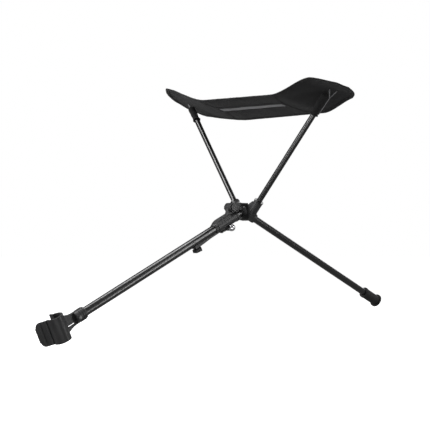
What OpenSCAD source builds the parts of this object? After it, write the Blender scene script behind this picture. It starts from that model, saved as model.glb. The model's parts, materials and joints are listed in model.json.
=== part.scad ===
// Folding sling leg rest that clips to a tube of a camp chair.
// Lengths in millimetres, +Z up.  The origin is the centre of the clamp, on the axis of the
// chair tube that it grips; +X runs from the chair towards the foot, Y runs across.

/* [Frame] */
// Distance from the clamp centre to the hub centre
leg_reach = 545; // [500:5:600]
// Slope of the long leg below the hub, in degrees
leg_drop = 25.5; // [20:0.5:30]
// Slope of the front leg below the hub, in degrees
front_drop = 25; // [20:0.5:35]
// Length of the front leg, from the hub centre to its flange
front_reach = 477; // [400:1:520]
// Angle of each upper pole from the middle plane, in degrees
v_half = 38; // [34:1:42]
// Forward lean of the two upper poles, in degrees
v_lean = 7; // [4:1:10]
// Distance along an upper pole from its root to its tip
pole_reach = 304; // [296:1:306]

/* [Tubes] */
// Outer diameter of the long leg
long_d = 18.5; // [18:0.5:19]
// Outer diameter of the front leg
front_d = 15; // [14:0.5:15]
// Outer diameter of the upper poles
pole_d = 12; // [11:0.5:12]
// Wall of every tube
tube_wall = 1.2; // [1:0.1:1.5]

/* [Clamp] */
// Diameter of the chair tube that the clamp grips
grip_d = 25; // [22:0.5:25]
// Length of the clamp along the chair tube
grip_len = 52; // [46:2:56]
// Wall of the clamp shell
shell_wall = 3.8; // [3.4:0.2:4.2]

/* [Seat] */
// Distance between the two hems
seat_w = 135; // [125:5:140]
// Length of the sling over its rounded ends
seat_len = 520; // [510:2:524]
// Slope of the sling, lower towards the foot, in degrees
seat_tilt = 18; // [15:1:20]
// Depth of the trough below the rims
seat_sag = 30; // [26:1:32]
// Thickness of the fabric
cloth_t = 2.4; // [2:0.2:2.6]
// Width of the mesh strip
mesh_w = 36; // [30:2:44]

/* [Hidden] */
$fn = 48;

// Frame points
hub_point = [leg_reach * cos(leg_drop), 0, leg_reach * sin(leg_drop)];
v_shift = 9;          // the upper poles stand this far in front of the leg crossing
v_gap = 21.3;         // half the distance between the roots of the upper poles
gap = 0.3;            // free space between solids that meet on a curve
fit = 0.06;           // radial clearance of a pin or a sliding tube

// Clamp, in the leg frame: x towards the hub, z along the chair tube
grip_r = grip_d / 2;
liner_t = 1.5;
shell_r = grip_r + liner_t;
shell_out = shell_r + shell_wall;
near_end = -195;      // the shell runs between these two angles and leaves the mouth open
far_end = 60;
tab_root = [-15.4, 4.1];
tab_edge = [-34, 23];
tab_t = 3;
ridge_r = 2.3;
far_lip = [7.5, 22.5];
web_t = 6;
socket_from = 42;
socket_len = 25;
rivet_x = socket_from + 5.5;
socket_d = long_d + 6.5;

// Head, in the leg frame
sleeve_from = leg_reach - 88;
sleeve_to = leg_reach - 25;
sleeve_d = 22.5;
bush_t = 0.9;
tube_end = leg_reach - 10;
pivot_x = leg_reach - 30;
pivot_z = 21.8;
ear_r = 10;
ear_in = 5;
ear_out = 9.5;
bolt_r = 3;
stud_x = leg_reach - 56;
stud_z = -13.6;
stud_r = 2.5;
lug_half = 8.6;
dome_r = 7.5;
back_z = 16.2;
lock_x = leg_reach - 155;
lock_seat = -13.2;

// Hub
socket_out_d = 20;
socket_mouth = 24;
plate_t = 14;

// Front foot, measured along the front leg
foot_from = front_reach - 47;
foot_d = 23;
flange_d = 30;

// Seat: shape of the sling across its length
seat_x = 38;
seat_z = 253;
trough_flat = 130;    // half length of the flat bottom
trough_rise = 120;    // length over which each wing rises
wing_lift = 33;
panel_split = 118;
rim_r = 80;           // radius of the rounded ends
pocket_left = 36;
pocket_right = 56;
batten_y = 226;
batten_tip = atan2(sling(batten_y + 5) - sling(batten_y - 5), 10);
tab_y = -8;

// Distance of a point on the pivot bolt from the hub, in the vertical middle plane
pivot_hub = [-(leg_reach - pivot_x) * cos(leg_drop) - pivot_z * sin(leg_drop),
             -(leg_reach - pivot_x) * sin(leg_drop) + pivot_z * cos(leg_drop)];

function ease(k) = k <= 0 ? 0 : k >= 1 ? 1 : k * k * (3 - 2 * k);
function sling(y) = -seat_sag + wing_lift * ease((abs(y) - trough_flat) / trough_rise);

// ---- frames ----
module in_leg() rotate([0, -leg_drop, 0]) children();
module at_hub() translate(hub_point) children();
module in_front() at_hub() rotate([0, front_drop, 0]) children();
module in_v() at_hub() translate([v_shift, 0, 0]) rotate([0, v_lean, 0]) children();
module in_pole(side)
    in_v() translate([0, side * v_gap, 0]) rotate([-side * v_half, 0, 0]) children();
module in_seat() at_hub() translate([seat_x, 0, seat_z]) rotate([0, seat_tilt, 0]) children();

// ---- shared shapes ----
// Bar along +X from x0 to x1
module bar(x0, x1, d) translate([x0, 0, 0]) rotate([0, 90, 0]) cylinder(h = x1 - x0, d = d);
// Bar along Y from y0 to y1
module cross_bar(y0, y1, d) translate([0, y0, 0]) rotate([-90, 0, 0]) cylinder(h = y1 - y0, d = d);
module tube(x0, x1, d) difference() {
    bar(x0, x1, d);
    bar(x0 - 1, x1 + 1, d - 2 * tube_wall);
}
// Sector of a ring round Z, from angle a0 to a1
module arc_wall(r0, r1, h, a0, a1)
    rotate([0, 0, a0]) rotate_extrude(angle = a1 - a0, $fn = 72)
        translate([r0, -h / 2]) square([r1 - r0, h]);
// Knob along Z from 0 to h with round lobes
module lobed(r, lobes, lobe_r, h) {
    cylinder(h = h, r = r - lobe_r * 0.5);
    for (k = [0 : lobes - 1]) rotate([0, 0, 360 * k / lobes])
        translate([r - lobe_r, 0, 0]) cylinder(h = h, r = lobe_r, $fn = 24);
}

// ---- clamp on the chair tube ----
module fan_outline() difference() {
    polygon([[shell_out - 3, -20], [shell_out - 3, 20], [socket_from + 4, 12.4],
             [socket_from + 12, 12.4], [socket_from + 12, -12.4], [socket_from + 4, -12.4]]);
    translate([socket_from + 1, 64.4]) circle(r = 52, $fn = 96);
    translate([socket_from + 1, -64.4]) circle(r = 52, $fn = 96);
}

module clamp_body() color("#26272a") in_leg() difference() {
    union() {
        arc_wall(shell_r, shell_out, grip_len, near_end, far_end);
        difference() {
            rotate([90, 0, 0]) linear_extrude(web_t, center = true) fan_outline();
            cylinder(h = grip_len, r = shell_out - 1, center = true);
        }
        bar(socket_from, socket_from + socket_len, socket_d);
        for (k = [0 : 2]) translate([socket_from + 10.5 + 5 * k, 0, 0])
            bar(0, 2.2, socket_d + 1.4);
        far_flare();
        thumb_tab();
    }
    bar(socket_from + 6, socket_from + socket_len + 1, long_d + 2 * fit);
    translate([rivet_x, 0, 0]) cross_bar(-20, 20, 4 + 2 * fit);
    translate([20, -web_t, -9.2]) cube([22, 2 * web_t, 3.4]);
}

// Short flare at the far edge of the mouth
module far_flare() linear_extrude(grip_len - 1, center = true) {
    polygon([[shell_r * cos(far_end - 2), shell_r * sin(far_end - 2)],
             [shell_out * cos(far_end - 8), shell_out * sin(far_end - 8)],
             [far_lip[0] + 1.8, far_lip[1] + 0.4], [far_lip[0] - 1.8, far_lip[1] - 0.4]]);
    translate(far_lip) circle(r = 1.9, $fn = 32);
}

// Flared thumb tab at the near edge of the mouth, with two ridges along the chair tube
module thumb_tab() {
    run = tab_edge - tab_root;
    reach = norm(run);
    half = grip_len / 2 - 0.8;
    translate([tab_root[0], tab_root[1], 0]) rotate([0, 0, atan2(run[1], run[0])]) {
        rotate([90, 0, 0]) linear_extrude(tab_t, center = true) {
            translate([-0.6, -half]) square([reach - 9.4, 2 * half]);
            translate([0, 10 - half]) square([reach, 2 * half - 20]);
            for (side = [-1, 1]) translate([reach - 10, side * (half - 10)]) circle(r = 10);
        }
        for (k = [0.14, 0.62]) translate([reach * k, 1.3, 0])
            cylinder(h = grip_len - 2.4 - 6 * k, r = ridge_r, center = true, $fn = 32);
        translate([reach, 0, 0]) cylinder(h = grip_len - 22, r = tab_t / 2 + 0.4, center = true, $fn = 32);
    }
}

module clamp_liner() color("#17181a") in_leg()
    arc_wall(grip_r, shell_r, grip_len - 6, -172, far_end - 8);

module socket_rivet() color("#303236") in_leg() translate([rivet_x, 0, 0]) {
    cross_bar(-socket_d / 2 - 0.2, socket_d / 2 + 0.2, 4);
    for (side = [-1, 1]) translate([0, side * (socket_d / 2 + 0.9), 0])
        cross_bar(-0.7, 0.7, 7.4);
}

// ---- long leg ----
module long_tube() color("#3a3b3e") in_leg() difference() {
    tube(socket_from + 8, tube_end, long_d);
    translate([rivet_x, 0, 0]) cross_bar(-20, 20, 4 + 2 * fit);
}

module long_tube_plug() color("#202124") in_leg() {
    bar(tube_end - 14, tube_end + 0.01, long_d - 2 * tube_wall - 2 * fit);
    bar(tube_end, tube_end + 3, long_d - 0.4);
}

// ---- head: sleeve that slides on the long leg ----
module head_sleeve() color("#2b2c30") in_leg() difference() {
    union() {
        bar(sleeve_from, sleeve_to, sleeve_d);
        bar(sleeve_from, sleeve_from + 3, sleeve_d + 1.6);
        bar(sleeve_to - 3.5, sleeve_to, sleeve_d + 2);
        translate([sleeve_from - 8, 0, 0]) rotate([0, 90, 0])
            cylinder(h = 8, d1 = long_d + 2.2, d2 = sleeve_d);
        head_back();
        head_knuckle();
        clamp_lug();
        lock_tail();
    }
    bar(sleeve_from + 2, sleeve_to - 2, long_d + 2 * bush_t + 0.02);
    bar(lock_x - 20, sleeve_to + 1, long_d + 2 * gap);
    translate([pivot_x, 0, pivot_z]) cross_bar(-20, 20, 2 * (bolt_r + fit));
    translate([stud_x - 12, -1, -30]) cube([24, 2, 24]);
    translate([stud_x, 0, stud_z]) cross_bar(-20, 20, 2 * (stud_r + fit));
    translate([lock_x, 0, -30]) cylinder(h = 24, r = stud_r + fit);
}

// Thick rounded back of the sleeve, sloping down to the tube at its rear end
module head_back() intersection() {
    rotate([90, 0, 0]) linear_extrude(19, center = true)
        polygon([[sleeve_from - 6, 6], [sleeve_from + 12, back_z], [sleeve_to - 22, back_z],
                 [sleeve_to - 20, back_z - 2], [sleeve_to - 20, 4], [sleeve_from - 6, 4]]);
    translate([0, 0, back_z - 12]) bar(sleeve_from - 8, sleeve_to, 24);
}

// Lug that hangs the sleeve from the pivot bolt
module head_knuckle() rotate([90, 0, 0]) linear_extrude(8.4, center = true) {
    translate([pivot_x, pivot_z]) circle(r = ear_r);
    polygon([[pivot_x - ear_r + 0.6, pivot_z + 3], [pivot_x - 17, back_z - 1], [pivot_x - 17, 10.2],
             [pivot_x + 4, 10.2], [pivot_x + 8, pivot_z - 6]]);
}

// Split lug below the sleeve, closed by the stud
module clamp_lug() {
    translate([stud_x - 6.5, -lug_half, stud_z]) cube([13, 2 * lug_half, 5]);
    translate([stud_x, 0, stud_z]) cross_bar(-lug_half, lug_half, 13);
}

// Saddle under the tube that carries the lock knob
module lock_tail() intersection() {
    rotate([90, 0, 0]) linear_extrude(13, center = true)
        polygon([[lock_x - 8, -6], [lock_x - 8, lock_seat + 1], [lock_x - 7, lock_seat],
                 [lock_x + 7, lock_seat], [lock_x + 40, -10.9], [sleeve_from + 1, -10.6],
                 [sleeve_from + 1, -6]]);
    bar(lock_x - 10, sleeve_from + 2, 34);
}

module sleeve_bush() color("#1b1c1e") in_leg() difference() {
    bar(sleeve_from + 2.1, sleeve_to - 2.1, long_d + 2 * bush_t);
    bar(sleeve_from, sleeve_to, long_d + 2 * fit);
    translate([stud_x - 12, -1, -30]) cube([24, 2, 24]);
    translate([stud_x, 0, stud_z]) cross_bar(-20, 20, 2 * (stud_r + fit) + 0.2);
}

module clamp_stud() color("#c9cbce") in_leg() translate([stud_x, 0, stud_z])
    cross_bar(-12.4, 20.4, 2 * stud_r);

// Domed cap nut on the near end of the stud
module dome_nut() color("#dfe1e3") in_leg() translate([stud_x, 0, stud_z]) difference() {
    union() {
        cross_bar(-12.6, -lug_half - 1.5, 2 * dome_r);
        intersection() {
            translate([0, -12.2, 0]) sphere(r = dome_r);
            cross_bar(-30, -12.5, 2 * dome_r + 2);
        }
    }
    cross_bar(-12.5, 0, 2 * stud_r + 0.04);
}

module stud_washers() color("#b9bcc0") in_leg() for (side = [-1, 1])
    translate([stud_x, side * (lug_half + 0.75), stud_z]) difference() {
        cross_bar(-0.7, 0.7, 11);
        cross_bar(-2, 2, 2 * stud_r + 0.3);
    }

module star_knob() color("#1e1f22") in_leg() translate([stud_x, lug_half + 1.6, stud_z])
    rotate([-90, 0, 0]) difference() {
        union() {
            cylinder(h = 7, r = 5);
            translate([0, 0, 1.6]) cylinder(h = 2.6, r = 8.6);
            translate([0, 0, 6]) lobed(11.4, 6, 3.4, 5.4);
        }
        translate([0, 0, -1]) cylinder(h = 11.6, r = stud_r + fit);
    }

module lock_knob() color("#1e1f22") in_leg() translate([lock_x, 0, lock_seat - 0.3])
    rotate([180, 0, 0]) difference() {
        union() {
            cylinder(h = 2.5, r = 5.5);
            translate([0, 0, 2]) lobed(10.5, 5, 3.2, 6.5);
        }
        translate([0, 0, -1]) cylinder(h = 8, r = stud_r + 0.02);
    }

module lock_stud() color("#b9bcc0") in_leg() translate([lock_x, 0, lock_seat - 7])
    cylinder(h = 7 - lock_seat - long_d / 2 - gap, r = stud_r);

// ---- hub ----
module plate_outline() difference() {
    polygon([[-14, -20], [14, -20], [26, -8], [30, 4], [24, 20], [0, 7], [-24, 20],
             [-30, 4], [-26, -8]]);
    translate([0, 16]) circle(r = 8);
}

module hub_arms() for (side = [-1, 1])
    translate([0, side * (ear_in + ear_out) / 2, 0]) rotate([90, 0, 0])
        linear_extrude(ear_out - ear_in, center = true) {
            translate(pivot_hub) circle(r = ear_r);
            polygon([[pivot_hub[0] + 1, pivot_hub[1] + ear_r], [6, 17], [6, 9.4], [-8, 9.4],
                     [pivot_hub[0] + 9, pivot_hub[1] - 3], [pivot_hub[0], pivot_hub[1]]]);
        }

module hub_body() color("#232427") difference() {
    union() {
        in_v() rotate([90, 0, 90]) linear_extrude(plate_t, center = true) plate_outline();
        for (side = [-1, 1]) in_pole(side) cylinder(h = socket_mouth, d = socket_out_d);
        in_front() bar(8, 36, front_d + 6.5);
        at_hub() hub_arms();
    }
    for (side = [-1, 1]) in_pole(side) translate([0, 0, 4])
        cylinder(h = 60, r = pole_d / 2 + fit);
    in_front() bar(14, 60, front_d + 2 * fit);
    at_hub() translate([pivot_hub[0], 0, pivot_hub[1]]) cross_bar(-20, 20, 2 * (bolt_r + fit));
    in_front() translate([27, 0, 0]) cross_bar(-20, 20, 3 + 2 * fit);
}

module pivot_bolt() color("#3a3b3e") in_leg() translate([pivot_x, 0, pivot_z]) {
    cross_bar(-ear_out - 0.2, ear_out + 3, 2 * bolt_r);
    cross_bar(-ear_out - 2.4, -ear_out - 0.1, 15);
}

module pivot_nut() color("#2a2b2e") in_leg() translate([pivot_x, 0, pivot_z]) difference() {
    rotate([-90, 0, 0]) translate([0, 0, ear_out + 0.2]) cylinder(h = 5, r = 6.5, $fn = 6);
    cross_bar(0, ear_out + 3.2, 2 * bolt_r + 0.04);
}

module friction_washers() color("#8f9296") in_leg() for (side = [-1, 1])
    translate([pivot_x, side * (ear_in - 0.4), pivot_z]) difference() {
        cross_bar(-0.3, 0.3, 16);
        cross_bar(-2, 2, 2 * bolt_r + 0.3);
    }

// ---- upper poles ----
module socket_ring(side) in_pole(side) translate([0, 0, socket_mouth + 0.01]) difference() {
    cylinder(h = 2.6, d = socket_out_d + 1.2);
    translate([0, 0, -1]) cylinder(h = 5, r = pole_d / 2 + 0.15);
}
module left_socket_ring() color("#55575b") socket_ring(1);
module right_socket_ring() color("#55575b") socket_ring(-1);

module pole(side) in_pole(side) difference() {
    translate([0, 0, 4.2]) cylinder(h = pole_reach - 12.2, d = pole_d);
    translate([0, 0, 3]) cylinder(h = pole_reach, d = pole_d - 2 * tube_wall);
}
module left_pole() color("#3a3b3e") pole(1);
module right_pole() color("#3a3b3e") pole(-1);

module pole_tip(side) in_pole(side) translate([0, 0, pole_reach - 8]) {
    translate([0, 0, -12]) cylinder(h = 12.01, r = pole_d / 2 - tube_wall - fit);
    cylinder(h = 3, d = pole_d);
    translate([0, 0, 3]) difference() {
        sphere(d = pole_d - 1);
        translate([-20, -20, -40]) cube([40, 40, 40]);
    }
}
module left_pole_tip() color("#1e1f22") pole_tip(1);
module right_pole_tip() color("#1e1f22") pole_tip(-1);

// ---- front leg ----
module front_tube() color("#3a3b3e") in_front() difference() {
    tube(14.3, front_reach - 8, front_d);
    translate([27, 0, 0]) cross_bar(-20, 20, 3 + 2 * fit);
}

module front_tube_pin() color("#55575b") in_front() translate([27, 0, 0])
    cross_bar(-front_d / 2 - 3, front_d / 2 + 3, 3);

module front_foot() color("#1a1b1d") in_front() difference() {
    union() {
        bar(foot_from, front_reach, foot_d);
        bar(foot_from, foot_from + 4, foot_d + 1.6);
        bar(front_reach - 1.2, front_reach + 1.4, flange_d);
        translate([front_reach + 1.4, 0, 0]) rotate([0, 90, 0])
            cylinder(h = 6, d1 = foot_d + 3, d2 = foot_d - 7);
    }
    bar(foot_from - 1, front_reach - 7, front_d + 0.02);
}

module foot_core() color("#8f9296") in_front()
    bar(front_reach - 30, front_reach - 7.2, front_d - 2 * tube_wall - 2 * fit);

// ---- seat ----
// Profile of the cloth between y0 and y1, in the (y, n) plane
module cloth_profile(y0, y1, t = cloth_t, drop = 0) {
    steps = 24;
    ys = [for (k = [0 : steps]) y0 + (y1 - y0) * k / steps];
    polygon(concat([for (y = ys) [y, sling(y) - drop]],
                   [for (k = [steps : -1 : 0]) [ys[k], sling(ys[k]) - drop + t]]));
}

// Plan outline of the sling: straight hems and rounded ends
module plan_outline() intersection() {
    square([seat_w, seat_len + 10], center = true);
    union() {
        square([seat_w + 10, seat_len - 2 * rim_r], center = true);
        for (side = [-1, 1]) translate([0, side * (seat_len / 2 - rim_r)])
            circle(r = rim_r, $fn = 180);
    }
}

// Panel of cloth between two distances across the hems and two along the length
module panel(s0, s1, y0, y1) in_seat() intersection() {
    translate([s1, 0, 0]) rotate([90, 0, -90]) mirror([1, 0, 0])
        linear_extrude(s1 - s0) cloth_profile(y0, y1);
    translate([0, 0, -60]) linear_extrude(120) plan_outline();
}

module seat_rear_band() color("#3b3c3f") panel(-seat_w / 2, -mesh_w / 2, -panel_split, panel_split);
module seat_front_band() color("#4a4b4e") panel(mesh_w / 2, seat_w / 2, -panel_split, panel_split);
module seat_mesh() color("#8f9194") panel(-mesh_w / 2, mesh_w / 2, -panel_split, panel_split);
module left_wing() color("#3b3c3f") panel(-seat_w / 2, seat_w / 2, panel_split, seat_len / 2);
module right_wing() color("#444548") panel(-seat_w / 2, seat_w / 2, -seat_len / 2, -panel_split);

// Space above the underside of the cloth
module above_cloth() in_seat() translate([seat_w, 0, 0]) rotate([90, 0, -90]) mirror([1, 0, 0])
    linear_extrude(2 * seat_w) cloth_profile(-seat_len / 2 - 20, seat_len / 2 + 20, 60);

// Pocket under each wing: a closed block of folded cloth round the end of a pole
module pocket(side, depth) difference() {
    in_pole(side) difference() {
        translate([0, 0, pole_reach - depth]) cylinder(h = depth + 8, d1 = pole_d + 9, d2 = pole_d + 12);
        translate([0, 0, pole_reach - depth - 1]) cylinder(h = depth - 2, r = pole_d / 2 + gap);
        translate([0, 0, pole_reach - 4]) sphere(d = pole_d + 2 * gap);
    }
    above_cloth();
}
module left_pocket() color("#303134") pocket(1, pocket_left);
module right_pocket() color("#303134") pocket(-1, pocket_right);

// Flat batten that keeps each wing spread, sewn on top of the end
module batten(side) in_seat() translate([0, side * batten_y, sling(batten_y) + cloth_t + 1.2])
    rotate([side * batten_tip, 0, 0]) cube([seat_w - 55, 12, 1.4], center = true);
module left_batten() color("#7a7c80") batten(1);
module right_batten() color("#7a7c80") batten(-1);

// Small loop of tape at the rear hem
module hem_tab() color("#55575b") in_seat()
    translate([-seat_w / 2 - 3.51, tab_y, -seat_sag + cloth_t / 2]) cube([7, 14, cloth_t], center = true);

clamp_body();
clamp_liner();
socket_rivet();
long_tube();
long_tube_plug();
head_sleeve();
sleeve_bush();
clamp_stud();
dome_nut();
stud_washers();
star_knob();
lock_knob();
lock_stud();
hub_body();
pivot_bolt();
pivot_nut();
friction_washers();
left_socket_ring();
right_socket_ring();
left_pole();
right_pole();
left_pole_tip();
right_pole_tip();
front_tube();
front_tube_pin();
front_foot();
foot_core();
seat_rear_band();
seat_front_band();
seat_mesh();
left_wing();
right_wing();
left_pocket();
right_pocket();
left_batten();
right_batten();
hem_tab();
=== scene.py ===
"""Looks for the clip-on leg rest: camera, light, materials and the sewn sling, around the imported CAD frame.

Lengths are metres in the row frame. The sling is built from one surface, sling_point(), on which the
panels, hems, seams and stitches lie. The pockets follow the poles.
"""
import json
import math

import bmesh
import bpy
from mathutils import Matrix, Vector, noise


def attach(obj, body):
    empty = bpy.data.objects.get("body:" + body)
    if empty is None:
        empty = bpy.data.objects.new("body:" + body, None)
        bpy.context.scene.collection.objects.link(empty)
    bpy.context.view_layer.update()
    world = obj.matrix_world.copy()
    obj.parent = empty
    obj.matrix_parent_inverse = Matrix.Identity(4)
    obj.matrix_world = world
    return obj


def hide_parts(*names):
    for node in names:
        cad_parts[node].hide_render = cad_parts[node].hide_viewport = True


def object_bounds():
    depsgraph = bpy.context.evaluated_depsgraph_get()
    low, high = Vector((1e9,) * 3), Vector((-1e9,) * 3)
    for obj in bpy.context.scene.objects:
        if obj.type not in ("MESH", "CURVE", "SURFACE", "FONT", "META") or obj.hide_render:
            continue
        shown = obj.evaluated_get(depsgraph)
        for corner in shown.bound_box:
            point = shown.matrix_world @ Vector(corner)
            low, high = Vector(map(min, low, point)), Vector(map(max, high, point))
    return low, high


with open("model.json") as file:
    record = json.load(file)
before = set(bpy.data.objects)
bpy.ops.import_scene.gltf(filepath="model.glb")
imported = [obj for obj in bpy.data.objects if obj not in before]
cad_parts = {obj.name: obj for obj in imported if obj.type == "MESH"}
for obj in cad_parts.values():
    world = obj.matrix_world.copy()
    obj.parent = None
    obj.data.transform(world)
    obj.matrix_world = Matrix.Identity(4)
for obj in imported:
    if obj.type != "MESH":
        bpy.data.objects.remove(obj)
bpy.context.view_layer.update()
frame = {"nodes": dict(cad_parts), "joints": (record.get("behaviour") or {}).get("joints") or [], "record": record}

MM = 0.001

# ---------------------------------------------------------------- frame points
SLIDE = next(j for j in frame["joints"] if j["name"] == "head_slide")
LEG_UP = Vector(SLIDE["axis"]).normalized()
LEG_REACH = 545 * MM
HUB = LEG_UP * LEG_REACH

# Upper poles: they lean towards the foot and open to both sides
LEAN = math.radians(7)
SPREAD = math.radians(38)
POLE_SHIFT = 9 * MM     # their roots stand this far in front of the hub point
POLE_GAP = 21.3 * MM    # and this far to each side of it
POLE_TIP = 306 * MM     # from root to the end inside the pocket


def pole_axis(side):
    """(root, direction) of an upper pole; side is 1 on the left, +Y, and -1 on the right."""
    up = Vector((math.sin(LEAN), 0, math.cos(LEAN)))
    way = up * math.cos(SPREAD) + Vector((0, side * math.sin(SPREAD), 0))
    return HUB + Vector((POLE_SHIFT, side * POLE_GAP, 0)), way.normalized()


# Sling: s runs across it towards the foot, y along it, n up out of it
TILT = math.radians(18)
SEAT = HUB + Vector((38, 0, 253)) * MM
ACROSS = Vector((math.cos(TILT), 0, -math.sin(TILT)))
ALONG = Vector((0, 1, 0))
NORMAL = Vector((math.sin(TILT), 0, math.cos(TILT)))
HALF_W = 67.5 * MM
END_R = 80 * MM
END_Y = 260 * MM
CLOTH = 1.0 * MM
HEM_WIDTH = 4 * MM      # the cross seams stop this far inside the hem
TAPE_HALF = 4.5 * MM
STITCH_PITCH = 3.4 * MM
FORK_TURN = math.radians(44)   # direction of the light grey cord round each pocket, a painted highlight
SEAM_Y = 107 * MM
WINDOW_Y = 100 * MM
WINDOW_FROM = -12.5 * MM
WINDOW_TO = 7.5 * MM


def ease(k):
    k = min(1.0, max(0.0, k))
    return k * k * (3 - 2 * k)


def mix(a, b, k):
    return a + (b - a) * k


def end_y(s):
    """How far the rounded end reaches at a distance s from the middle line."""
    return END_Y - END_R + math.sqrt(max(END_R**2 - s * s, 0))


def seam_y(s):
    """Distance from the middle of the seam between a wing and the middle panel."""
    return SEAM_Y + 19 * MM * (s / (62 * MM)) ** 2


def sling_height(s, y):
    """Height of the cloth over the rim plane: a trough with a wing at each end.

    The bottom is flat for a length, then the wing rises by lift over the length rise. The rear hem
    and the front hem have their own values, and so has each end.
    """
    front = (s / HALF_W + 1) / 2
    depth = mix(35.5 - y / (48 * MM), 26, front)
    flat = mix(80, 70, front) if y > 0 else mix(120, 150, front)
    rise = mix(165, 240, front) if y > 0 else mix(105, 85, front)
    lift = mix(38, 26, front) if y > 0 else mix(32, 30, front)
    return (-depth + lift * ease((abs(y) / MM - flat) / rise)) * MM


def wrinkle(s, y):
    """Slow undulation of the cloth, puckers along the hems and pull lines towards the pole ends."""
    p = Vector((s * 22, y * 22, 3.1))
    soft = noise.noise(p) * 0.9 + noise.noise(p * 2.7) * 0.3
    edge = min(HALF_W - abs(s), end_y(s) - abs(y))
    pucker = 0.35 * math.exp(-max(edge, 0) / (9 * MM)) * noise.noise(Vector((s * 160, y * 160, 9.0)))
    reach = math.hypot(s, abs(y) - 212 * MM)
    turn = math.atan2(s, 212 * MM - abs(y))
    pull = 0.32 * math.sin(turn * 9 + 0.7) * math.exp(-((reach / (60 * MM) - 0.8) ** 2) * 2.2)
    fade = ease((HALF_W - abs(s)) / (10 * MM)) * 0.6 + 0.4
    return (soft + pull) * fade * MM + pucker * MM


def sling_point(s, y, lift=0.0):
    """A point of the cloth, lift metres above its middle surface."""
    return SEAT + ACROSS * s + ALONG * y + NORMAL * (sling_height(s, y) + wrinkle(s, y) + lift)


# ---------------------------------------------------------------- mesh helpers
def finish_mesh(name, verts, faces, smooth=True):
    mesh = bpy.data.meshes.new(name)
    mesh.from_pydata([tuple(v) for v in verts], [], faces)
    mesh.validate()
    ob = bpy.data.objects.new(name, mesh)
    bpy.context.scene.collection.objects.link(ob)
    bm = bmesh.new()
    bm.from_mesh(mesh)
    bmesh.ops.remove_doubles(bm, verts=bm.verts, dist=1e-6)
    bmesh.ops.recalc_face_normals(bm, faces=bm.faces)
    bm.to_mesh(mesh)
    bm.free()
    for poly in mesh.polygons:
        poly.use_smooth = smooth
    return ob


def grid_faces(rows, cols, skip=None):
    faces = []
    for r in range(rows - 1):
        for c in range(cols - 1):
            if skip and skip(r, c):
                continue
            a = r * cols + c
            faces.append((a, a + 1, a + cols + 1, a + cols))
    return faces


def loft(name, rings, closed=True, caps=True):
    """Mesh through rings of equal length, with end caps."""
    n = len(rings[0])
    verts = [v for ring in rings for v in ring]
    faces = []
    for r in range(len(rings) - 1):
        for c in range(n if closed else n - 1):
            d = (c + 1) % n
            faces.append((r * n + c, r * n + d, (r + 1) * n + d, (r + 1) * n + c))
    if caps:
        faces.append(tuple(range(n))[::-1])
        faces.append(tuple((len(rings) - 1) * n + c for c in range(n)))
    return finish_mesh(name, verts, faces)


def modifier(ob, kind, **values):
    m = ob.modifiers.new(kind.title(), kind)
    for key, value in values.items():
        setattr(m, key, value)
    return m


def ring_round(centre, axis, radius, sides, flat=1.0, out=None):
    """Circle of points round an axis; flat squeezes it along out."""
    out = (out or Vector((0, 0, 1))).normalized()
    u = (out - axis * out.dot(axis)).normalized()
    v = axis.cross(u)
    turn = [2 * math.pi * k / sides for k in range(sides)]
    return [centre + u * (math.cos(a) * radius * flat) + v * (math.sin(a) * radius) for a in turn]


def sweep(name, path, radius, sides=8, closed=False):
    """Round tube along a path of points."""
    rings = []
    count = len(path)
    for k, p in enumerate(path):
        a = path[(k - 1) % count] if closed else path[max(k - 1, 0)]
        b = path[(k + 1) % count] if closed else path[min(k + 1, count - 1)]
        rings.append(ring_round(p, (b - a).normalized(), radius, sides, out=NORMAL))
    if closed:
        rings.append(rings[0])
    return loft(name, rings, caps=not closed)


def stitches(name, rows, length, width, lift):
    """Rows of short thread stitches; each row is a list of (point, direction, normal)."""
    verts, faces = [], []
    for row in rows:
        for p, way, up in row:
            side = way.cross(up).normalized()
            base = len(verts)
            for k, swell in ((-0.5, 0.45), (-0.2, 1.0), (0.2, 1.0), (0.5, 0.45)):
                mid = p + way * length * k
                verts += [mid + side * width * swell * 0.5, mid + up * lift * swell,
                          mid - side * width * swell * 0.5]
            for r in range(3):
                b = base + 3 * r
                faces += [(b, b + 1, b + 4, b + 3), (b + 1, b + 2, b + 5, b + 4),
                          (b + 2, b, b + 3, b + 5)]
            faces += [(base, base + 2, base + 1), (base + 9, base + 10, base + 11)]
    return finish_mesh(name, verts, faces)


# ---------------------------------------------------------------- materials
def new_material(name):
    mat = bpy.data.materials.new(name)
    mat.use_nodes = True
    tree = mat.node_tree
    return mat, tree.nodes, tree.links, tree.nodes["Principled BSDF"]


def noise_node(nodes, links, scale, detail=4.0, rough=0.55, stretch=None):
    coords = nodes.new("ShaderNodeTexCoord")
    tex = nodes.new("ShaderNodeTexNoise")
    tex.inputs["Scale"].default_value = scale
    tex.inputs["Detail"].default_value = detail
    tex.inputs["Roughness"].default_value = rough
    source = coords.outputs["Object"]
    if stretch:
        mapping = nodes.new("ShaderNodeMapping")
        mapping.inputs["Rotation"].default_value = stretch[0]
        mapping.inputs["Scale"].default_value = stretch[1]
        links.new(source, mapping.inputs["Vector"])
        source = mapping.outputs["Vector"]
    links.new(source, tex.inputs["Vector"])
    return tex


def ramp(nodes, links, source, stops):
    node = nodes.new("ShaderNodeValToRGB")
    node.color_ramp.elements[0].position = stops[0][0]
    node.color_ramp.elements[1].position = stops[-1][0]
    for k, (at, colour) in enumerate(stops):
        if 0 < k < len(stops) - 1:
            node.color_ramp.elements.new(at)
    for element, (at, colour) in zip(node.color_ramp.elements, stops):
        element.position = at
        element.color = (*colour, 1)
    links.new(source, node.inputs["Fac"])
    return node


def grey(v, tint=1.03):
    return (v, v, v * tint)


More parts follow.
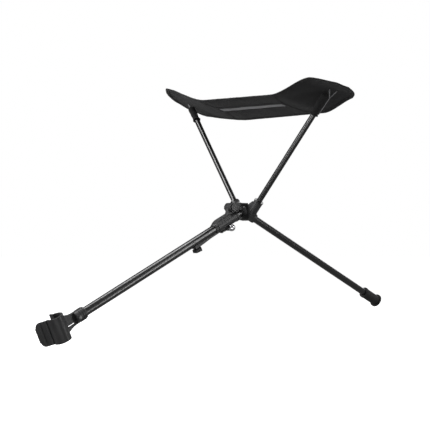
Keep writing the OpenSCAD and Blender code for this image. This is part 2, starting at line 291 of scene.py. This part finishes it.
def to_range(nodes, links, source, low, high):
    node = nodes.new("ShaderNodeMapRange")
    node.inputs["To Min"].default_value = low
    node.inputs["To Max"].default_value = high
    links.new(source, node.inputs["Value"])
    return node.outputs["Result"]


def bump(nodes, links, shader, heights):
    """Chains bump nodes: heights is a list of (socket, strength, distance)."""
    last = None
    for source, strength, distance in heights:
        node = nodes.new("ShaderNodeBump")
        node.inputs["Strength"].default_value = strength
        node.inputs["Distance"].default_value = distance
        links.new(source, node.inputs["Height"])
        if last:
            links.new(last, node.inputs["Normal"])
        last = node.outputs["Normal"]
    links.new(last, shader.inputs["Normal"])


def moulded(name, dark, light, rough, grain=900, wear=0.5, sheen_spec=0.5):
    """Moulded plastic or rubber: fine spark-eroded grain, faint flow marks and rubbed patches."""
    mat, nodes, links, shader = new_material(name)
    flow = noise_node(nodes, links, 38, 6, 0.6)
    scuff = noise_node(nodes, links, 260, 3, 0.7)
    fine = noise_node(nodes, links, grain, 1, 0.5)
    colour = ramp(nodes, links, flow.outputs["Fac"], [(0.3, grey(dark)), (0.72, grey(light))])
    worn = ramp(nodes, links, scuff.outputs["Fac"], [(0.60, grey(0.0)), (0.78, grey(wear))])
    blend = nodes.new("ShaderNodeMix")
    blend.data_type = "RGBA"
    blend.blend_type = "ADD"
    blend.inputs["Factor"].default_value = 0.06
    links.new(colour.outputs["Color"], blend.inputs["A"])
    links.new(worn.outputs["Color"], blend.inputs["B"])
    links.new(blend.outputs["Result"], shader.inputs["Base Color"])
    links.new(to_range(nodes, links, scuff.outputs["Fac"], rough - 0.09, rough + 0.1),
              shader.inputs["Roughness"])
    shader.inputs["Specular IOR Level"].default_value = sheen_spec
    bump(nodes, links, shader, [(flow.outputs["Fac"], 0.08, 0.0005), (fine.outputs["Fac"], 0.06, 0.00006)])
    return mat


def powder_coat(name, dark, light, rough):
    """Powder-coated tube: slight tone drift along the tube and rubbed patches in the gloss."""
    mat, nodes, links, shader = new_material(name)
    drift = noise_node(nodes, links, 14, 3, 0.5)
    rub = noise_node(nodes, links, 60, 3, 0.6)
    colour = ramp(nodes, links, drift.outputs["Fac"], [(0.3, grey(dark)), (0.7, grey(light))])
    links.new(colour.outputs["Color"], shader.inputs["Base Color"])
    links.new(to_range(nodes, links, rub.outputs["Fac"], rough - 0.04, rough + 0.06),
              shader.inputs["Roughness"])
    shader.inputs["Metallic"].default_value = 0.0
    shader.inputs["Specular IOR Level"].default_value = 0.6
    shader.inputs["Coat Weight"].default_value = 0.35
    shader.inputs["Coat Roughness"].default_value = 0.22
    return mat


def bare_metal(name, dark, light, rough, stretch=(1, 1, 1)):
    """Plated or bare metal with fine turning marks and water spots."""
    mat, nodes, links, shader = new_material(name)
    spots = noise_node(nodes, links, 150, 4, 0.6)
    lines = noise_node(nodes, links, 500, 2, 0.5, ((0, 0, 0), stretch))
    colour = ramp(nodes, links, spots.outputs["Fac"], [(0.3, grey(dark, 1.02)), (0.75, grey(light, 1.02))])
    links.new(colour.outputs["Color"], shader.inputs["Base Color"])
    links.new(to_range(nodes, links, lines.outputs["Fac"], rough * 0.6, rough * 1.5),
              shader.inputs["Roughness"])
    shader.inputs["Metallic"].default_value = 1.0
    bump(nodes, links, shader, [(lines.outputs["Fac"], 0.2, 0.00008)])
    return mat


def woven(name, dark, light, pitch, rough=0.85, sheen=0.25, depth=0.00022):
    """Plain-weave cloth: crossed yarns, slubs along the yarns and a slow change of tone."""
    mat, nodes, links, shader = new_material(name)
    coords = nodes.new("ShaderNodeTexCoord")
    turned = nodes.new("ShaderNodeMapping")
    turned.inputs["Rotation"].default_value = (0, -TILT, 0)
    links.new(coords.outputs["Object"], turned.inputs["Vector"])
    yarns = []
    for direction in ("X", "Y"):
        wave = nodes.new("ShaderNodeTexWave")
        wave.wave_type = "BANDS"
        wave.bands_direction = direction
        wave.inputs["Scale"].default_value = 0.314 / pitch
        wave.inputs["Distortion"].default_value = 0.6
        wave.inputs["Detail"].default_value = 1.0
        wave.inputs["Detail Scale"].default_value = 2.0
        links.new(turned.outputs["Vector"], wave.inputs["Vector"])
        yarns.append(wave.outputs["Fac"])
    cross = nodes.new("ShaderNodeMath")
    cross.operation = "MULTIPLY"
    links.new(yarns[0], cross.inputs[0])
    links.new(yarns[1], cross.inputs[1])
    slub = noise_node(nodes, links, 420, 3, 0.6, ((0, -TILT, 0), (0.25, 1, 1)))
    slow = noise_node(nodes, links, 16, 4, 0.6)
    tone = nodes.new("ShaderNodeMath")
    tone.operation = "MULTIPLY_ADD"
    tone.inputs[1].default_value = 0.45
    links.new(cross.outputs["Value"], tone.inputs[0])
    slow_part = to_range(nodes, links, slow.outputs["Fac"], 0.0, 0.6)
    links.new(slow_part, tone.inputs[2])
    colour = ramp(nodes, links, tone.outputs["Value"], [(0.1, grey(dark)), (0.85, grey(light))])
    links.new(colour.outputs["Color"], shader.inputs["Base Color"])
    links.new(to_range(nodes, links, slub.outputs["Fac"], rough - 0.1, min(rough + 0.1, 1.0)),
              shader.inputs["Roughness"])
    shader.inputs["Specular IOR Level"].default_value = 0.35
    shader.inputs["Sheen Weight"].default_value = sheen
    shader.inputs["Sheen Roughness"].default_value = 0.45
    bump(nodes, links, shader, [(cross.outputs["Value"], 0.6, depth), (slub.outputs["Fac"], 0.3, depth)])
    return mat


MATERIALS = {
    "moulded_black": moulded("moulded_black", 0.030, 0.052, 0.4),
    "liner_rubber": moulded("liner_rubber", 0.010, 0.016, 0.7, 600, 0.3),
    "tube_paint": powder_coat("tube_paint", 0.008, 0.014, 0.22),
    "bush_plastic": moulded("bush_plastic", 0.008, 0.014, 0.5),
    "knob_plastic": moulded("knob_plastic", 0.016, 0.030, 0.38),
    "bright_nut": bare_metal("bright_nut", 0.62, 0.86, 0.16),
    "zinc_steel": bare_metal("zinc_steel", 0.42, 0.6, 0.32, (1, 12, 1)),
    "black_steel": powder_coat("black_steel", 0.010, 0.018, 0.34),
    "foot_rubber": moulded("foot_rubber", 0.011, 0.02, 0.58, 500, 0.4),
    "core_aluminium": bare_metal("core_aluminium", 0.5, 0.66, 0.3),
    "canvas": woven("canvas", 0.026, 0.062, 0.0009, 0.9, 0.1),
    "mesh_cloth": woven("mesh_cloth", 0.34, 0.50, 0.0006, 0.7, 0.2, 0.0001),
    "pocket_cloth": woven("pocket_cloth", 0.012, 0.030, 0.0009, 0.9, 0.08),
    "batten_plastic": moulded("batten_plastic", 0.02, 0.03, 0.5),
    "tape": woven("tape", 0.016, 0.036, 0.0006, 0.8, 0.12),
    "thread": woven("thread", 0.03, 0.07, 0.0003, 0.6, 0.2, 0.00005),
    # painted highlight: this light grey cord on each pocket and its fork stands in for the lit edge of the pole
    "painted_highlight_piping": woven("painted_highlight_piping", 0.30, 0.45, 0.0004, 0.6, 0.2, 0.00005),
}


def dress(ob, key):
    ob.data.materials.clear()
    ob.data.materials.append(MATERIALS[key])


# ---------------------------------------------------------------- CAD nodes
SLOT_OF = {row["node"]: row["material_slot"] for row in frame["record"]["subparts"]}
SOFTENED = {"clamp_body": 0.5, "head_sleeve": 0.45, "star_knob": 0.35, "lock_knob": 0.4,
            "front_foot": 0.4, "left_socket_ring": 0.3, "right_socket_ring": 0.3, "pivot_bolt": 0.4}
for node_name, node_object in frame["nodes"].items():
    slots = node_object.material_slots
    for material_slot in slots:
        material_slot.material = MATERIALS[SLOT_OF[node_name]]
    if not slots:
        node_object.data.materials.append(MATERIALS[SLOT_OF[node_name]])
for node_name, edge in SOFTENED.items():
    modifier(frame["nodes"][node_name], "BEVEL", width=edge * MM, segments=2, limit_method="ANGLE",
             angle_limit=math.radians(38), harden_normals=False)


# ---------------------------------------------------------------- sling
COLS = 28
MID_ROWS = 54
WING_ROWS = 26


def sling_rows():
    """(row kind, position) from the right end to the left end: kind -1 or 1 is a wing, 0 the middle."""
    wings = [k / WING_ROWS for k in range(1, WING_ROWS + 1)]
    middle = [mix(-1, 1, k / MID_ROWS) for k in range(MID_ROWS + 1)]
    return ([(-1, k) for k in reversed(wings)] + [(0, y) for y in middle] + [(1, k) for k in wings])


def row_y(kind, at, s):
    return at * seam_y(s) if kind == 0 else kind * mix(seam_y(s), end_y(s), at)


def build_cloth():
    """Canvas of the sling with a window for the mesh strip; one sheet, solidified."""
    rows = sling_rows()
    columns = [mix(-HALF_W, HALF_W, c / (COLS - 1)) for c in range(COLS)]
    verts = [sling_point(s, row_y(kind, at, s)) for kind, at in rows for s in columns]

    def in_window(r, c):
        kinds = rows[r][0] == 0 and rows[r + 1][0] == 0
        if not kinds:
            return False
        y = (rows[r][1] + rows[r + 1][1]) / 2 * SEAM_Y
        s = (columns[c] + columns[c + 1]) / 2
        return abs(y) < WINDOW_Y and WINDOW_FROM < s < WINDOW_TO

    cloth = finish_mesh("sling_cloth", verts, grid_faces(len(rows), COLS, in_window))
    modifier(cloth, "SOLIDIFY", thickness=CLOTH, offset=0)
    modifier(cloth, "SUBSURF", levels=1, render_levels=1)
    return cloth


def build_net():
    """Open mesh strip: a net of threads with staggered holes."""
    pitch = 2.6 * MM
    rows = int(2 * (WINDOW_Y + 3 * MM) / pitch)
    cols = int((WINDOW_TO - WINDOW_FROM + 7 * MM) / pitch)
    verts = []
    for r in range(rows + 1):
        for c in range(cols + 1):
            shift = 0.25 * pitch * (1 if r % 2 else -1)
            s = mix(WINDOW_FROM - 3.4 * MM, WINDOW_TO + 3.4 * MM, c / cols) + shift
            y = mix(-WINDOW_Y - 3 * MM, WINDOW_Y + 3 * MM, r / rows)
            verts.append(sling_point(s, y, 0.2 * MM))
    net = finish_mesh("mesh_strip", verts, grid_faces(rows + 1, cols + 1))
    modifier(net, "WIREFRAME", thickness=1.0 * MM, use_even_offset=False)
    return net


def outline(count):
    """(s, y) points round the edge of the sling, anticlockwise from above."""
    corner = math.asin(HALF_W / END_R)
    straight = END_Y - END_R + END_R * math.cos(corner)
    points = []
    side = count // 3
    arc = count // 6
    for k in range(side):
        points.append((HALF_W, mix(-straight, straight, k / side)))
    for k in range(arc):
        a = mix(corner, -corner, k / arc)
        points.append((END_R * math.sin(a), END_Y - END_R + END_R * math.cos(a)))
    for k in range(side):
        points.append((-HALF_W, mix(straight, -straight, k / side)))
    for k in range(arc):
        a = mix(-corner, corner, k / arc)
        points.append((END_R * math.sin(a), -END_Y + END_R - END_R * math.cos(a)))
    return points


def inward(points, k):
    """Unit vector into the sling at an outline point, in (s, y)."""
    a, b = Vector(points[k - 2]), Vector(points[(k + 2) % len(points)])
    way = (b - a).normalized()
    return Vector((-way.y, way.x))


def build_binding():
    """Folded binding tape round the whole edge."""
    points = outline(360)
    section = [(9.0, 1.0), (8.4, 1.35), (1.2, 1.4), (-0.4, 1.0), (-0.9, 0.0), (-0.4, -1.0), (1.2, -1.4),
               (8.4, -1.35), (9.0, -1.0), (7.0, -0.45), (0.5, -0.4), (0.5, 0.4), (7.0, 0.45)]
    rings = []
    for k, p in enumerate(points):
        into = inward(points, k)
        ring = []
        for inset, lift in section:
            q = Vector(p) + into * inset * MM
            ring.append(sling_point(q.x, q.y, lift * MM))
        rings.append(ring)
    rings.append(rings[0])
    binding = loft("hem_binding", rings, caps=False)
    return binding


def along_outline(inset, pitch, lift):
    """Stitch places on the hem, inset from the edge."""
    points = outline(720)
    ring = [Vector(p) + inward(points, k) * inset for k, p in enumerate(points)]
    row, travelled = [], 0.0
    for k, q in enumerate(ring):
        nxt = ring[(k + 1) % len(ring)]
        travelled += (nxt - q).length
        if travelled >= pitch:
            travelled = 0.0
            way = (sling_point(nxt.x, nxt.y) - sling_point(q.x, q.y)).normalized()
            row.append((sling_point(q.x, q.y, lift), way, NORMAL * (1 if lift > 0 else -1)))
    return row


def seam_row(line, over, pitch, lift):
    """Stitch places along a seam line of (s, y) points, moved over to one side of it."""
    row, travelled = [], 0.0
    for k in range(len(line) - 1):
        p, q = Vector(line[k]), Vector(line[k + 1])
        way_flat = (q - p).normalized()
        aside = Vector((-way_flat.y, way_flat.x)) * over
        travelled += (q - p).length
        if travelled >= pitch:
            travelled = 0.0
            a, b = sling_point(*(p + aside), lift), sling_point(*(q + aside), lift)
            row.append((a, (b - a).normalized(), NORMAL * (1 if lift > 0 else -1)))
    return row


def seam_lines():
    """Lines of (s, y) points: the two edges of the mesh strip and the two curved cross seams."""
    lines = []
    for s in (WINDOW_FROM - 3 * MM, WINDOW_TO + 3 * MM):
        lines.append([(s, mix(-SEAM_Y, SEAM_Y, k / 240)) for k in range(241)])
    for side in (-1, 1):
        places = [mix(-HALF_W + HEM_WIDTH, HALF_W - HEM_WIDTH, k / 150) for k in range(151)]
        lines.append([(s, side * (seam_y(s) - 4 * MM)) for s in places])
    return lines


def build_seam_tapes():
    """Flat tapes sewn over the edges of the mesh strip and over the two cross seams."""
    made = []
    for k, line in enumerate(seam_lines()):
        for face, lift in (("under", -0.75), ("top", 0.75)):
            rows = []
            for r in range(0, len(line) - 1, 3):
                p, q = Vector(line[r]), Vector(line[r + 1])
                way = (q - p).normalized()
                over = Vector((-way.y, way.x)) * TAPE_HALF
                crown = 0.25 if lift > 0 else -0.25
                rows.append([sling_point(*(p + over * e), (lift + crown * (1 - e * e)) * MM)
                             for e in (-1, -0.8, -0.3, 0.3, 0.8, 1)])
            verts = [v for row in rows for v in row]
            tape = finish_mesh(f"seam_tape_{face}_{k + 1}", verts, grid_faces(len(rows), 6))
            modifier(tape, "SOLIDIFY", thickness=0.5 * MM, offset=0)
            made.append(tape)
    return made


def build_hem_tab():
    """Loop of tape folded under the rear hem."""
    rows = []
    for r in range(27):
        y = mix(-29, -1, r / 26) * MM
        sag = 0.5 * math.sin(r * 0.7)
        rows.append([sling_point(-HALF_W + d * MM, y, (n + sag * (1 if d < 0 else 0)) * MM)
                     for d, n in ((6, -2.0), (1, -2.1), (-3.5, -2.6), (-6.5, -3.1), (-7.4, -2.4),
                                  (-6.4, -1.8), (-3.5, -1.4), (0.5, -1.8))])
    tab = finish_mesh("hem_loop", [v for row in rows for v in row], grid_faces(27, 8))
    modifier(tab, "SOLIDIFY", thickness=0.5 * MM, offset=0)
    return tab


def build_pocket(side, depth):
    """Pocket sewn under a wing round the end of a pole: a flattened sock with a bound mouth."""
    root, way = pole_axis(side)
    name = "left" if side > 0 else "right"
    start = POLE_TIP - depth * MM
    rings = []
    steps = 22
    for k in range(steps + 1):
        f = k / steps
        at = root + way * mix(start, POLE_TIP, f)
        wide = mix(8.4, 9.4, ease(f)) + 0.35 * math.sin(f * 17 + side)
        if f > 0.86:
            wide *= math.sqrt(max(1 - ((f - 0.86) / 0.15) ** 2, 0.03))
        ring = ring_round(at, way, wide * MM, 28, 0.84, NORMAL)
        rings.append([v + NORMAL * noise.noise(v * 130) * 0.5 * MM for v in ring])
    inner = [ring_round(root + way * (start + d * MM), way, 7.6 * MM, 28, 0.86, NORMAL) for d in (12, 0)]
    sock = loft(f"{name}_pocket_cloth", inner + rings, caps=True)
    modifier(sock, "SUBSURF", levels=1, render_levels=1)
    mouth = ring_round(root + way * start, way, 8.9 * MM, 40, 0.82, NORMAL)
    lip = sweep(f"{name}_pocket_binding", mouth, 1.15 * MM, 8, closed=True)
    return sock, lip


def build_fork(side):
    """Light grey cord up one side of a pocket, a painted highlight for the lit edge of the pole inside it; it
    forks where the pocket meets the wing.
    """
    root, way = pole_axis(side)
    aside = Vector((math.cos(FORK_TURN), side * math.sin(FORK_TURN), 0))
    aside = (aside - way * aside.dot(way)).normalized()
    places = [k / 10 for k in range(11)]
    path = [root + (way * mix(258, 299, k) + aside * mix(8.6, 9.6, k)) * MM for k in places]
    end = path[-1]
    s, y = (end - SEAT).dot(ACROSS), end.y
    arms = [sling_point(s + ds * MM, y + side * dy * MM, -2.2 * MM) for ds, dy in ((-13, 9), (3, 15))]
    stem = sweep("left_fork" if side > 0 else "right_fork", path, 1.2 * MM, 8)
    forks = [sweep(f"{stem.name}_arm_{k + 1}", [end, end.lerp(arm, 0.5), arm], 1.2 * MM, 8)
             for k, arm in enumerate(arms)]
    return [stem, *forks]


cloth = build_cloth()
net = build_net()
binding = build_binding()
tapes = build_seam_tapes()
hem_loop = build_hem_tab()
forks = build_fork(-1) + build_fork(1)
pockets = {side: build_pocket(side, 52 if side < 0 else 38) for side in (-1, 1)}

hem_rows = [along_outline(inset * MM, STITCH_PITCH, lift * 1.45 * MM)
            for inset in (2.2, 7.4) for lift in (-1, 1)]
seam_rows = [seam_row(line, over * MM, STITCH_PITCH, lift * 1.2 * MM)
             for line in seam_lines() for over in (-3, 3) for lift in (-1, 1)]
threads = stitches("stitching", hem_rows + seam_rows, 2.3 * MM, 0.75 * MM, 0.35 * MM)

dress(cloth, "canvas")
dress(net, "mesh_cloth")
dress(binding, "tape")
dress(threads, "thread")
dress(hem_loop, "tape")
for tape in tapes:
    dress(tape, "tape")
for sock, lip in pockets.values():
    dress(sock, "pocket_cloth")
    dress(lip, "tape")

# light grey cord on the pockets: a painted highlight
for piece in forks:
    dress(piece, "painted_highlight_piping")

pocket_pieces = [piece for pair in pockets.values() for piece in pair]
soft_pieces = [net, binding, threads, hem_loop, *forks, *tapes, *pocket_pieces]
for piece in [cloth, *soft_pieces]:
    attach(piece, "hub")
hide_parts("seat_rear_band", "seat_front_band", "left_wing", "right_wing", "left_batten",
            "right_batten")
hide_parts("seat_mesh")
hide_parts("hem_tab")
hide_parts("left_pocket")
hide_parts("right_pocket")

# ---------------------------------------------------------------- camera
AZIMUTH = math.radians(-44)
ELEVATION = math.radians(-1.5)
DISTANCE = 3.2
away = Vector((math.sin(AZIMUTH) * math.cos(ELEVATION), -math.cos(AZIMUTH) * math.cos(ELEVATION),
               math.sin(ELEVATION)))
camera = bpy.data.objects.new("camera", bpy.data.cameras.new("camera"))
bpy.context.scene.collection.objects.link(camera)
camera.location = HUB + away * DISTANCE
camera.data.sensor_width = 36
camera.data.lens = 124.7
camera.data.clip_start = 0.05
camera.data.clip_end = 60
aim = (-away).to_track_quat("-Z", "Y")
turn = Matrix.Rotation(math.radians(1.076), 3, "Y") @ Matrix.Rotation(math.radians(-0.154), 3, "X")
camera.rotation_mode = "QUATERNION"
camera.rotation_quaternion = aim @ turn.to_quaternion()
bpy.context.scene.camera = camera

# ---------------------------------------------------------------- floor and light
FLOOR_HALF = 30
FLOOR_DROP = 20 * MM
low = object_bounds()[0][2] - FLOOR_DROP
floor_mesh = bpy.data.meshes.new("floor")
floor_corners = [(FLOOR_HALF * x, FLOOR_HALF * y, low) for x, y in ((-1, -1), (1, -1), (1, 1), (-1, 1))]
floor_mesh.from_pydata(floor_corners, [], [(0, 1, 2, 3)])
floor = bpy.data.objects.new("floor", floor_mesh)
bpy.context.scene.collection.objects.link(floor)
floor_mat, _, _, floor_shader = new_material("pale_floor")
floor_shader.inputs["Base Color"].default_value = (0.9, 0.9, 0.9, 1)
floor_shader.inputs["Roughness"].default_value = 0.9
floor_shader.inputs["Emission Color"].default_value = (1, 1, 1, 1)
floor_shader.inputs["Emission Strength"].default_value = 0.85
floor.data.materials.append(floor_mat)
floor.visible_glossy = False      # the floor neither shows in the gloss nor lights the object
floor.visible_diffuse = False

world = bpy.data.worlds.new("studio")
world.use_nodes = True
world_nodes, world_links = world.node_tree.nodes, world.node_tree.links
# The camera sees a white background; everything else gets a weaker fill from it
seen = world_nodes.new("ShaderNodeLightPath")
strength = world_nodes.new("ShaderNodeMapRange")
strength.inputs["To Min"].default_value = 0.22
strength.inputs["To Max"].default_value = 1.0
world_links.new(seen.outputs["Is Camera Ray"], strength.inputs["Value"])
world_nodes["Background"].inputs["Color"].default_value = (1, 1, 1, 1)
world_links.new(strength.outputs["Result"], world_nodes["Background"].inputs["Strength"])
bpy.context.scene.world = world
bpy.context.scene.view_settings.view_transform = "Standard"


def area_light(name, place, target, size, power):
    light = bpy.data.lights.new(name, "AREA")
    light.shape = "RECTANGLE"
    light.size, light.size_y = size
    light.energy = power
    ob = bpy.data.objects.new(name, light)
    bpy.context.scene.collection.objects.link(ob)
    ob.location = place
    ob.rotation_mode = "QUATERNION"
    ob.rotation_quaternion = (Vector(target) - Vector(place)).to_track_quat("-Z", "Y")


CENTRE = HUB + Vector((0, 0, 0.05))
RIGHT = Vector((math.cos(AZIMUTH), math.sin(AZIMUTH), 0))
UP = Vector((0, 0, 1))
LIGHTS = (
    ("key", -RIGHT * 1.9 + away * 0.9 + UP * 1.1, (0.5, 2.2), 46),
    ("side", RIGHT * 2.1 + away * 0.5 + UP * 0.5, (0.3, 2.2), 16),
    ("top", -away * 0.4 + UP * 2.2, (2.0, 0.6), 26),
    ("low", away * 2.0 - UP * 0.9, (2.4, 0.5), 20),
    ("back", -away * 2.0 + RIGHT * 0.6 + UP * 0.9, (1.6, 1.2), 12),
)
for light_name, offset, light_size, light_power in LIGHTS:
    area_light(light_name, CENTRE + offset, CENTRE, light_size, light_power)
